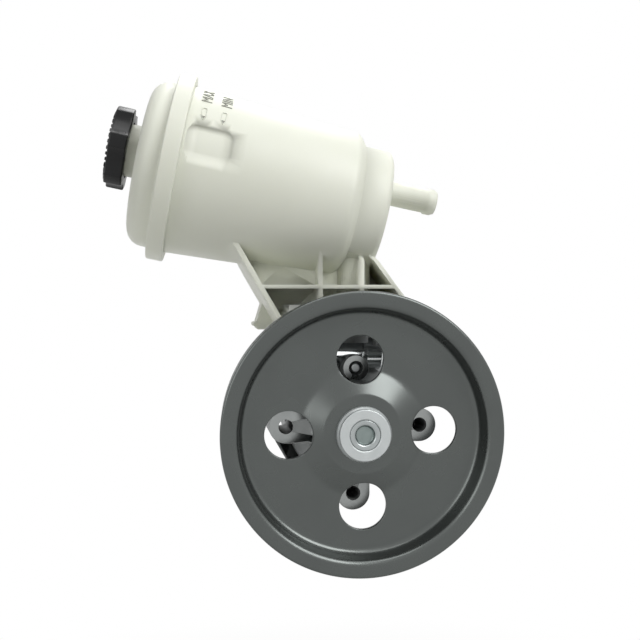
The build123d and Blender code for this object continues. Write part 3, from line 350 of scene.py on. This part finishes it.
def window_sector(centre_angle, front, rear, window):
    """A quarter of the web round one window. Each line runs from the quarter's edge to the window's circle, over a
    rounded lip, down the wall, and back on the rear side; heights are read off the sheet's outline."""
    spread = np.linspace(-math.pi / 4, math.pi / 4, 49)
    radial = np.linspace(WEB_INNER, WEB_OUTER, 15)
    edge = [np.stack([radial, np.full(15, -math.pi / 4)], -1)[:-1],
            np.stack([np.full(49, WEB_OUTER), spread], -1)[:-1],
            np.stack([radial[::-1], np.full(15, math.pi / 4)], -1)[:-1],
            np.stack([np.full(49, WEB_INNER), spread[::-1]], -1)[:-1]]
    edge = np.concatenate(edge)
    outer = edge[:, :1] * np.stack([np.cos(edge[:, 1]), np.sin(edge[:, 1])], -1)
    centre = np.array([window.pitch / MM, 0.0])
    away = unit(outer - centre)
    hole = window.diameter / MM / 2
    lip = 0.5
    arc = np.linspace(0, math.pi / 2, 5)
    inner = centre + away * (hole + lip)
    share = np.linspace(0, 1, 12)[:, None, None]
    face = outer * (1 - share) + inner * share
    bend = centre + away * (hole + lip * (1 - np.sin(arc[1:, None, None])))
    flat = np.concatenate([face, bend])
    radius = np.linalg.norm(flat, axis=-1)
    drop = np.concatenate([np.zeros(12), lip * (1 - np.cos(arc[1:]))])[:, None]
    sides = []
    for path, way in ((front, 1), (rear, -1)):
        height = sheet_height(radius, path) + way * drop
        turned = math.cos(centre_angle) * flat[..., 0] - math.sin(centre_angle) * flat[..., 1]
        risen = math.sin(centre_angle) * flat[..., 0] + math.cos(centre_angle) * flat[..., 1]
        sides.append(np.stack([turned, height, risen], axis=-1) * MM)
    return np.concatenate([sides[0], sides[1][::-1]])


class PUMP_OT_pulley(bpy.types.Operator):
    """Pressed and spun pulley: flat ring, deep step, web, cone, four windows and six belt grooves"""
    bl_idname = "pump.pulley"
    bl_label = "Pulley"

    def execute(self, context):
        window = context.scene.pump_windows
        front, rear = rounded_path(PULLEY_FRONT), rounded_path(PULLEY_REAR)
        start = window.turn - math.pi / 4
        angles = full_turn(192, start)
        near = np.array([[WEB_INNER, float(sheet_height(WEB_INNER, front))]])
        near_rear = np.array([[WEB_INNER, float(sheet_height(WEB_INNER, rear))]])
        far = np.array([[WEB_OUTER, WEB_FRONT]])
        far_rear = np.array([[WEB_OUTER, WEB_REAR]])
        centre = [near_rear, rear[rear[:, 0] < WEB_INNER], front[front[:, 0] < WEB_INNER], near]
        rim = [far, front[front[:, 0] > WEB_OUTER], belt_grooves(), rear[rear[:, 0] > WEB_OUTER], far_rear]
        grids = [(spin_y(np.concatenate(centre), angles), True), (spin_y(np.concatenate(rim), angles), True)]
        for quarter in range(4):
            grids.append((window_sector(window.turn + quarter * math.pi / 2, front, rear, window), True))
        add_piece("pulley_sheet", grids, "rotating", bpy.data.materials["phosphated_pressed_steel"],
                  ("pulley",), sharp=38.0)
        return {"FINISHED"}


class PUMP_OT_lid(bpy.types.Operator):
    """Reservoir lid: wide rim, rounded crown and the filler neck set above its centre, one skin inside and out"""
    bl_idname = "pump.lid"
    bl_label = "Reservoir lid"

    def execute(self, context):
        lift = context.scene.pump_sizes.neck_lift / MM
        outside = rounded_path([(9.2, 46.55, 0), (9.2, 51.49, 0.8), (0, 51.49, 0.8), (0, 45.6, 1.2), (-13.0, 45.0, 9.0),
                                (-13.0, 34.0, 0)])
        neck = rounded_path([(-13.0, 20.0, 0), (-13.0, 14.4, 1.2), (-25.5, 14.4, 0.5), (-25.5, 11.6, 0.5),
                             (-10.0, 11.6, 0), (-10.0, 14.0, 0)])
        inside = rounded_path([(-10.0, 34.0, 0), (-10.0, 42.0, 6.0), (3.0, 43.5, 0), (3.0, 46.55, 0),
                               (9.2, 46.55, 0)])
        path = np.concatenate([outside, neck, inside])
        raised = np.concatenate([np.zeros(len(outside)), np.full(len(neck), lift), np.zeros(len(inside))])
        grid = spin_tank(path, full_turn(192), raised)
        add_piece("lid_shell", [(grid, True)], "housing",
                  bpy.data.materials["moulded_natural_polypropylene"], ("reservoir_lid",))
        return {"FINISHED"}


class PUMP_OT_cap(bpy.types.Operator):
    """Filler cap: its outline is the circle cut by six finger scallops, carried over the face, side and bore; the
    face's edge rises in a ring of small grip marks, a pulse round the turn times a pulse across the ring"""
    bl_idname = "pump.cap"
    bl_label = "Filler cap"

    def execute(self, context):
        sizes = context.scene.pump_sizes
        angles = full_turn(CAP_MARKS * 14)
        outline = scalloped_outline(angles, sizes.cap_diameter / MM / 2)
        arc = np.linspace(0, math.pi / 2, 6)
        face, skirt, edge = CAP_FACE, CAP_SKIRT, CAP_EDGE
        ring = np.linspace(16.6, 20.6, 9)
        rows = [(0, radius, 0, face, 0) for radius in (0.0, 8.0, 16.4)]
        rows += [(0, radius, 0, face, math.sin(math.pi * place / 8) ** 0.35) for place, radius in enumerate(ring)]
        rows += [(1, 0, edge * (1 - math.sin(t)), face + edge * (1 - math.cos(t)), 0) for t in arc]
        rows += [(1, 0, edge * (1 - math.cos(t)), skirt - edge * (1 - math.sin(t)), 0) for t in arc]
        rows += [(0, CAP_BORE_RADIUS, 0, along, 0) for along in (skirt, CAP_BORE_FLOOR)]
        rows += [(0, 0.0, 0, CAP_BORE_FLOOR, 0)]
        share, radius, inset, along, rise = (np.array(column, float)[:, None] for column in zip(*rows))
        pulse = np.clip(1.6 * np.cos(angles * CAP_MARKS) + 0.8, 0, 1)
        out = share * (outline - inset) + (1 - share) * np.minimum(radius, outline - edge - 0.2)
        along = along - rise * pulse * CAP_MARK_HEIGHT
        lift = sizes.neck_lift / MM
        points = np.stack(np.broadcast_arrays(along, -out * np.cos(angles), lift + out * np.sin(angles)), axis=-1)
        add_piece("cap_shell", [(tank_frame(points), True)], "cap",
                  bpy.data.materials["moulded_black_nylon"], ("filler_cap",))
        return {"FINISHED"}


def scalloped_outline(angles, full):
    """Radius over the turn: the nearer of the full circle and the scallop circles, blended over a tenth of a
    millimetre or so by the logarithm of summed exponentials."""
    offset = (angles + CAP_TURN + math.pi / CAP_SCALLOPS) % (2 * math.pi / CAP_SCALLOPS) - math.pi / CAP_SCALLOPS
    reach = full + SCALLOP_RADIUS - SCALLOP_DEPTH
    side = reach * np.sin(offset)
    cut = reach * np.cos(offset) - np.sqrt(np.maximum(SCALLOP_RADIUS ** 2 - side ** 2, 0))
    cut = np.where(np.abs(side) < SCALLOP_RADIUS, cut, full + 1)
    blend = 0.12
    return full - blend * np.log(1 + np.exp((full - cut) / blend))


class PUMP_OT_level_marks(bpy.types.Operator):
    """Level words and arrows raised on the tank: flat shapes laid on its skin, the length round the tank as an angle
    and the height along the axis"""
    bl_idname = "pump.level_marks"
    bl_label = "Level words and arrows"

    def execute(self, context):
        material = bpy.data.materials["moulded_natural_polypropylene"]
        # Painted shade: the words and arrow tips take a darker grey that stands for the shading along their raised
        # strokes
        foil = bpy.data.materials["grey_stamping_foil"]
        for word, along, angle in (("MAX", 20.0, 47.5), ("MIN", 30.6, 47.5)):
            curve = bpy.data.curves.new(f"level_{word.lower()}", "FONT")
            curve.body = word
            curve.size = 8.6
            curve.offset = -0.1
            curve.extrude = 0.3
            curve.space_character = 1.05
            flat = bpy.data.objects.new(f"level_{word.lower()}_flat", curve)
            bpy.context.scene.collection.objects.link(flat)
            bpy.context.view_layer.update()
            mesh = bpy.data.meshes.new_from_object(flat.evaluated_get(bpy.context.evaluated_depsgraph_get()))
            bpy.data.objects.remove(flat)
            points = np.zeros(len(mesh.vertices) * 3)
            mesh.vertices.foreach_get("co", points)
            points = points.reshape(-1, 3)
            laid = on_tank_skin(along - points[:, 1], math.radians(angle), points[:, 0] * 0.86, points[:, 2])
            mesh.vertices.foreach_set("co", laid.ravel())
            mesh.name = f"level_{word.lower()}"
            place_piece(mesh.name, mesh, "housing", foil)
        outline = np.array([(0, 0), (2.6, 1.2), (8.4, 1.2), (8.4, -1.2), (2.6, -1.2)])
        tip = resample(np.array([(0.1, 0), (2.3, 1.0), (2.3, -1.0)]), 24)
        for number, (along, angle) in enumerate(((17.0, 30.2), (27.4, 30.6))):
            path = resample(outline, 96)
            way = unit(np.roll(path, -1, axis=0) - np.roll(path, 1, axis=0))
            side = np.stack([-way[:, 1], way[:, 0]], axis=-1) * 0.22
            rings = [(path + side, -0.15), (path + side, 0.3), (path - side, 0.3), (path - side, -0.15),
                     (path + side, -0.15)]
            rows = [on_tank_skin(along + line[:, 1], math.radians(angle), line[:, 0], np.full(len(line), rise))
                    for line, rise in rings]
            add_piece(f"level_arrow_{number + 1}", [(np.stack(rows), True)], "housing", material)
            shrunk = [(tip, -0.15), (tip, 0.34), (tip.mean(axis=0) + (tip - tip.mean(axis=0)) * 0.02, 0.34)]
            rows = [on_tank_skin(along + line[:, 1], math.radians(angle), line[:, 0], np.full(len(line), rise))
                    for line, rise in shrunk]
            add_piece(f"level_tip_{number + 1}", [(np.stack(rows), True)], "housing", foil)
        return {"FINISHED"}


def resample(corners, count):
    """Evenly spaced points round a closed outline."""
    closed = np.concatenate([corners, corners[:1]])
    run = np.concatenate([[0], np.cumsum(np.linalg.norm(np.diff(closed, axis=0), axis=1))])
    even = np.linspace(0, run[-1], count, endpoint=False)
    return np.stack([np.interp(even, run, closed[:, side]) for side in (0, 1)], axis=-1)


def on_tank_skin(along, first_angle, round_length, rise):
    """Points on the tapered tank: the angle grows by the length round the tank over the radius there."""
    slope = (TANK_MOUTH_RADIUS - TANK_SHOULDER_RADIUS) / (TANK_SHOULDER_START - TANK_MOUTH_START)
    radius = TANK_MOUTH_RADIUS - slope * (along - TANK_MOUTH_START)
    angle = first_angle + round_length / radius
    out = radius + rise
    return tank_frame(np.stack([along, -out * np.cos(angle), out * np.sin(angle)], axis=-1))


class PUMP_OT_threads(bpy.types.Operator):
    """Internal threads as thin sleeves: the bore follows a rounded saw wave of the distance along the axis less one
    pitch a turn"""
    bl_idname = "pump.threads"
    bl_label = "Threads"

    def execute(self, context):
        zinc = bpy.data.materials["zinc_plated_turned_steel"]
        casting = bpy.data.materials["blasted_die_cast_aluminium"]
        thread_sleeve("right_boss_thread", "y", (37.2, 0.0), 4.0, 0.62, 1.25, 1.0, 19.0, "housing",
                      casting)
        thread_sleeve("bottom_boss_thread", "y", (0.0, -37.2), 4.0, 0.62, 1.25, 1.0, 19.0, "housing",
                      casting)
        thread_sleeve("outlet_thread", "x", (20.0, 39.0), 7.0, 0.8, 1.5, -43.5, -32.5, "housing", zinc)
        return {"FINISHED"}


def thread_sleeve(name, axis, centre, major, depth, pitch, start, stop, body, material):
    """One thin sleeve between start and stop: the bore is the major radius less the thread's wave, which fades out
    over a pitch at each end, and the outside is plain."""
    angles = full_turn(64)
    along = np.arange(start, stop, pitch / 8)[:, None]
    phase = ((along / pitch - angles / (2 * math.pi)) % 1.0 - 0.5) * 2
    fade = np.clip(np.minimum(along - start, stop - along) / pitch, 0, 1)
    inner = major - depth * fade * np.clip(1.25 - 1.4 * np.abs(phase), 0, 1)
    outer = np.full((len(along), 1), major + 0.02) + 0 * angles
    radius = np.concatenate([inner, outer[::-1], inner[:1]])
    along = np.concatenate([along, along[::-1], along[:1]]) + 0 * angles
    across, up = centre[0] + radius * np.cos(angles), centre[1] + radius * np.sin(angles)
    order = (across, along, up) if axis == "y" else (along, across, up)
    add_piece(name, [(np.stack(order, axis=-1) * MM, True)], body, material, sharp=45.0)


class PUMP_OT_tank(bpy.types.Operator):
    """Tank, bracket and stubs: the moulding's own mesh, merged and smoothed"""
    bl_idname = "pump.tank"
    bl_label = "Tank and bracket"

    def execute(self, context):
        copy_of_node("reservoir_body", "tank_moulding", "housing",
                     bpy.data.materials["moulded_natural_polypropylene"], even=False)
        return {"FINISHED"}


class PUMP_OT_metal(bpy.types.Operator):
    """Housing, shaft, plug, union, bolts and cover: their own meshes, merged and smoothed. Hub collar, the shaft's
    hole and the valve barrel's skin are turned: an outline of straight runs and tangent arcs, spun about its axis"""
    bl_idname = "pump.metal"
    bl_label = "Housing and fittings"

    def execute(self, context):
        casting = bpy.data.materials["blasted_die_cast_aluminium"]
        zinc = bpy.data.materials["zinc_plated_turned_steel"]
        ground = bpy.data.materials["ground_shaft_steel"]
        body = copy_of_node("pump_housing", "housing_casting", "housing", casting)
        finish_faces(body.data)
        add_piece("hub_collar", [(spin_y(rounded_path(HUB_PROFILE), full_turn(128)), True)], "rotating",
                  bpy.data.materials["zinc_plated_hub_steel"], ("pulley_hub",), sharp=24.0)
        add_piece("shaft_hole", [(spin_y(rounded_path(SHAFT_HOLE), full_turn(96)), True)], "rotating",
                  bpy.data.materials["oiled_shaft_steel"], sharp=24.0)
        add_piece("valve_barrel", [(spin_valve(rounded_path(BARREL_SKIN), full_turn(96)), True)], "housing",
                  bpy.data.materials["turned_bright_aluminium"])
        copy_of_node("drive_shaft", "shaft_bar", "rotating", ground)
        copy_of_node("valve_plug", "plug_bar", "housing",
                     bpy.data.materials["turned_bright_aluminium"])
        copy_of_node("outlet_union", "union_bar", "housing", zinc)
        copy_of_node("reservoir_bolts", "flange_bolts", "housing",
                     bpy.data.materials["zinc_flake_coated_steel"])
        copy_of_node("end_cover", "cover_disc", "housing", zinc)
        return {"FINISHED"}


def finish_faces(mesh):
    """Gives the casting's milled faces and its turned valve barrel their own finish, picked by how near each face's
    centre lies to the milled planes or to the barrel's radius."""
    centres, normals = np.zeros(len(mesh.polygons) * 3), np.zeros(len(mesh.polygons) * 3)
    mesh.polygons.foreach_get("center", centres)
    mesh.polygons.foreach_get("normal", normals)
    centres, normals = centres.reshape(-1, 3) / MM, normals.reshape(-1, 3)
    milled = np.zeros(len(centres), bool)
    for face_y in MILLED_FACES:
        milled |= (np.abs(centres[:, 1] - face_y) < 0.02) & (normals[:, 1] < -0.99)
    from_axis = np.hypot(centres[:, 1] - VALVE_AXIS[0], centres[:, 2] - VALVE_AXIS[1])
    barrel = (np.abs(from_axis - BARREL_RADIUS) < 0.1) & (np.abs(normals[:, 0]) < 0.1)
    mesh.materials.append(bpy.data.materials["milled_aluminium_face"])
    mesh.materials.append(bpy.data.materials["turned_bright_aluminium"])
    mesh.polygons.foreach_set("material_index", (milled + 2 * barrel).astype(np.int32))


class PUMP_OT_finishes(bpy.types.Operator):
    """Makes every finish and puts it on the frame's own pieces by their material slot"""
    bl_idname = "pump.finishes"
    bl_label = "Finishes"

    def execute(self, context):
        made = make_materials()
        for part in frame["record"]["subparts"]:
            mesh = frame["nodes"][part["node"]].data
            mesh.materials.clear()
            mesh.materials.append(made[part["material_slot"]])
        return {"FINISHED"}


class PUMP_OT_studio(bpy.types.Operator):
    """Pale floor, soft lamps, white surroundings and the camera"""
    bl_idname = "pump.studio"
    bl_label = "Studio"

    def execute(self, context):
        studio = context.scene.pump_studio
        add_floor(studio)
        add_world(studio)
        add_lamp("key_lamp", (0.55, -0.62, 0.75), (0.0, 0.0, 0.02), 0.72, studio.key_power)
        add_lamp("top_lamp", (-0.05, -0.15, 0.95), (-0.03, 0.0, 0.08), 0.7, studio.top_power)
        add_lamp("left_lamp", (-0.8, -0.6, 0.35), (-0.03, 0.0, 0.05), 0.6, studio.fill_power)
        add_lamp("rim_lamp", (0.1, 0.55, 0.9), (-0.03, 0.0, 0.08), 0.5, studio.rim_power)
        # Stands for the bright room that the plug and barrel mirror and that the pulley's back keeps from them here
        window = add_lamp("window_lamp", (0.1, -0.56, 0.24), (0.0, 0.02, 0.04), 0.9, studio.window_power)
        window.data.use_shadow = False
        lit = bpy.data.collections.new("seen_through_windows")
        for name in ("valve_barrel", "plug_bar"):
            lit.objects.link(bpy.data.objects[name])
        window.light_linking.receiver_collection = lit
        camera = bpy.data.cameras.new("photo_camera")
        camera.lens = 53.76
        camera.sensor_width = 36.0
        seen = bpy.data.objects.new("photo_camera", camera)
        seen.location = (-0.08524, -0.51824, 0.06931)
        seen.rotation_euler = Euler((math.radians(90 - 1.21), 0, math.radians(-7.35)))
        context.scene.collection.objects.link(seen)
        context.scene.camera = seen
        context.scene.view_settings.view_transform = "Standard"
        return {"FINISHED"}


def add_floor(studio):
    """Wide square under the object: softly lit and shaded beneath it, and fading into the white surroundings."""
    half = 3.0
    level = studio.floor_level
    mesh = bpy.data.meshes.new("studio_floor")
    mesh.from_pydata([(-half, -half, level), (half, -half, level), (half, half, level), (-half, half, level)], [],
                     [(0, 1, 2, 3)])
    floor = bpy.data.objects.new("studio_floor", mesh)
    bpy.context.scene.collection.objects.link(floor)
    material = bpy.data.materials.new("white_paper")
    material.use_nodes = True
    tree = material.node_tree
    shader = tree.nodes["Principled BSDF"]
    shader.inputs["Base Color"].default_value = linear("#F4F4F2")
    shader.inputs["Roughness"].default_value = 0.9
    glow = add_node(tree, "Emission", {"Color": (1, 1, 1, 1), "Strength": 1.0})
    place = add_node(tree, "TexCoord").outputs["Object"]
    reach = add_node(tree, "VectorMath", {0: place, 1: (1.0, 1.0, 0.0)}, operation="MULTIPLY")
    reach = add_node(tree, "VectorMath", {0: reach.outputs[0]}, operation="LENGTH")
    fade = add_node(tree, "MapRange", {"Value": reach.outputs["Value"], "From Min": 0.12, "From Max": 0.6,
                                       "To Min": 0.5, "To Max": 1.0}, interpolation_type="SMOOTHSTEP")
    shown = add_node(tree, "Math", {0: seen_directly(tree), 1: fade.outputs["Result"]}, operation="MULTIPLY")
    mixed = add_node(tree, "MixShader", {0: shown.outputs[0], 1: shader.outputs["BSDF"],
                                         2: glow.outputs["Emission"]})
    tree.links.new(mixed.outputs[0], tree.nodes["Material Output"].inputs["Surface"])
    mesh.materials.append(material)


def seen_directly(tree):
    """One for camera, glossy and transmission rays, otherwise nought."""
    path = add_node(tree, "LightPath")
    first = add_node(tree, "Math", {0: path.outputs["Is Camera Ray"], 1: path.outputs["Is Glossy Ray"]},
                     operation="MAXIMUM")
    both = add_node(tree, "Math", {0: first.outputs[0], 1: path.outputs["Is Transmission Ray"]}, operation="MAXIMUM")
    return both.outputs[0]


def add_world(studio):
    """White where it is seen or mirrored, and a dim even light on the object."""
    world = bpy.data.worlds.new("white_surroundings")
    world.use_nodes = True
    tree = world.node_tree
    tree.nodes.clear()
    lit = add_node(tree, "Background", {"Color": (1, 1, 1, 1), "Strength": studio.ambient})
    shown = add_node(tree, "Background", {"Color": (1, 1, 1, 1), "Strength": 1.0})
    mixed = add_node(tree, "MixShader", {0: seen_directly(tree), 1: lit.outputs[0], 2: shown.outputs[0]})
    add_node(tree, "OutputWorld", {"Surface": mixed.outputs[0]})
    bpy.context.scene.world = world


def add_lamp(name, place, aim, size, power):
    """Round soft lamp at a place, turned towards its aim."""
    lamp = bpy.data.lights.new(name, "AREA")
    lamp.shape = "DISK"
    lamp.size = size
    lamp.energy = power
    seen = bpy.data.objects.new(name, lamp)
    seen.location = place
    way = np.array(aim) - np.array(place)
    pitch = math.atan2(-way[2], math.hypot(way[0], way[1]))
    seen.rotation_euler = Euler((math.pi / 2 - pitch, 0, math.atan2(-way[0], way[1])))
    bpy.context.scene.collection.objects.link(seen)
    return seen


# Sizes and colours that a user would change

class PumpSizes(bpy.types.PropertyGroup):
    tank_place: bpy.props.FloatVectorProperty(
        name="Tank origin", description="Centre of the lid rim's left face", subtype="TRANSLATION", unit="LENGTH",
        size=3, default=(-0.1031, 0.019, 0.14285))
    tank_tilt: bpy.props.FloatProperty(
        name="Tank tilt", description="Fall of the tank's axis to the right", subtype="ANGLE",
        default=math.radians(11.4))
    neck_lift: bpy.props.FloatProperty(
        name="Neck lift", description="Height of the filler neck above the tank's axis", unit="LENGTH",
        default=0.0048)
    cap_diameter: bpy.props.FloatProperty(
        name="Cap diameter", description="Filler cap over its lands", unit="LENGTH", default=0.0456)


class PumpWindows(bpy.types.PropertyGroup):
    diameter: bpy.props.FloatProperty(
        name="Window diameter", description="Round windows in the web", unit="LENGTH", default=0.025)
    pitch: bpy.props.FloatProperty(
        name="Window pitch radius", description="From the shaft's axis to a window's centre", unit="LENGTH",
        default=0.0384)
    turn: bpy.props.FloatProperty(
        name="Window turn", description="Angle of the first window above the horizontal", subtype="ANGLE",
        default=math.radians(1.1))


class PumpColours(bpy.types.PropertyGroup):
    paint: bpy.props.StringProperty(name="Paint", description="Pulley's coat, sRGB hex", default="#5E6260")
    zinc: bpy.props.StringProperty(name="Zinc", description="Plated steel, sRGB hex", default="#C4C8C8")
    casting: bpy.props.StringProperty(name="Casting", description="Cast aluminium, sRGB hex", default="#A3A6A6")
    tank: bpy.props.StringProperty(name="Tank", description="Natural plastic, sRGB hex", default="#EFF1E4")
    cap: bpy.props.StringProperty(name="Cap", description="Black plastic, sRGB hex", default="#121314")


class PumpStudio(bpy.types.PropertyGroup):
    floor_level: bpy.props.FloatProperty(
        name="Floor level", description="Height of the floor", unit="LENGTH", default=-0.30)
    ambient: bpy.props.FloatProperty(name="Ambient", description="Strength of the surroundings", default=0.09)
    key_power: bpy.props.FloatProperty(name="Key lamp", description="Upper right lamp", unit="POWER", default=7.6)
    top_power: bpy.props.FloatProperty(name="Top lamp", description="Overhead lamp", unit="POWER", default=2.5)
    fill_power: bpy.props.FloatProperty(name="Fill lamp", description="Left lamp", unit="POWER", default=2.0)
    window_power: bpy.props.FloatProperty(
        name="Window lamp", description="Lamp for the valve behind the top window", unit="POWER", default=2.4)
    rim_power: bpy.props.FloatProperty(name="Rim lamp", description="Lamp behind and above", unit="POWER", default=2.5)


class PUMP_PT_panel(bpy.types.Panel):
    """Lists the pump's steps in the sidebar"""
    bl_label = "Power steering pump"
    bl_idname = "PUMP_PT_panel"
    bl_space_type = "VIEW_3D"
    bl_region_type = "UI"
    bl_category = "Pump"

    def draw(self, context):
        for group in (context.scene.pump_sizes, context.scene.pump_windows, context.scene.pump_colours,
                      context.scene.pump_studio):
            for key in group.__annotations__:
                self.layout.prop(group, key)
        for operator in OPERATORS:
            self.layout.operator(operator.bl_idname)


OPERATORS = (PUMP_OT_finishes, PUMP_OT_pulley, PUMP_OT_lid, PUMP_OT_cap, PUMP_OT_tank,
             PUMP_OT_level_marks, PUMP_OT_metal, PUMP_OT_threads, PUMP_OT_studio)
GROUPS = {"pump_sizes": PumpSizes, "pump_windows": PumpWindows, "pump_colours": PumpColours,
          "pump_studio": PumpStudio}


def register():
    for kind in (*GROUPS.values(), *OPERATORS, PUMP_PT_panel):
        bpy.utils.register_class(kind)
    for name, kind in GROUPS.items():
        setattr(bpy.types.Scene, name, bpy.props.PointerProperty(type=kind))


def unregister():
    for name in GROUPS:
        delattr(bpy.types.Scene, name)
    for kind in (PUMP_PT_panel, *reversed(OPERATORS), *reversed(tuple(GROUPS.values()))):
        bpy.utils.unregister_class(kind)


def main():
    register()
    bpy.ops.pump.finishes()
    bpy.ops.pump.pulley()
    bpy.ops.pump.lid()
    bpy.ops.pump.cap()
    bpy.ops.pump.tank()
    bpy.ops.pump.level_marks()
    bpy.ops.pump.metal()
    bpy.ops.pump.threads()
    bpy.ops.pump.studio()


if __name__ == "__main__":
    main()
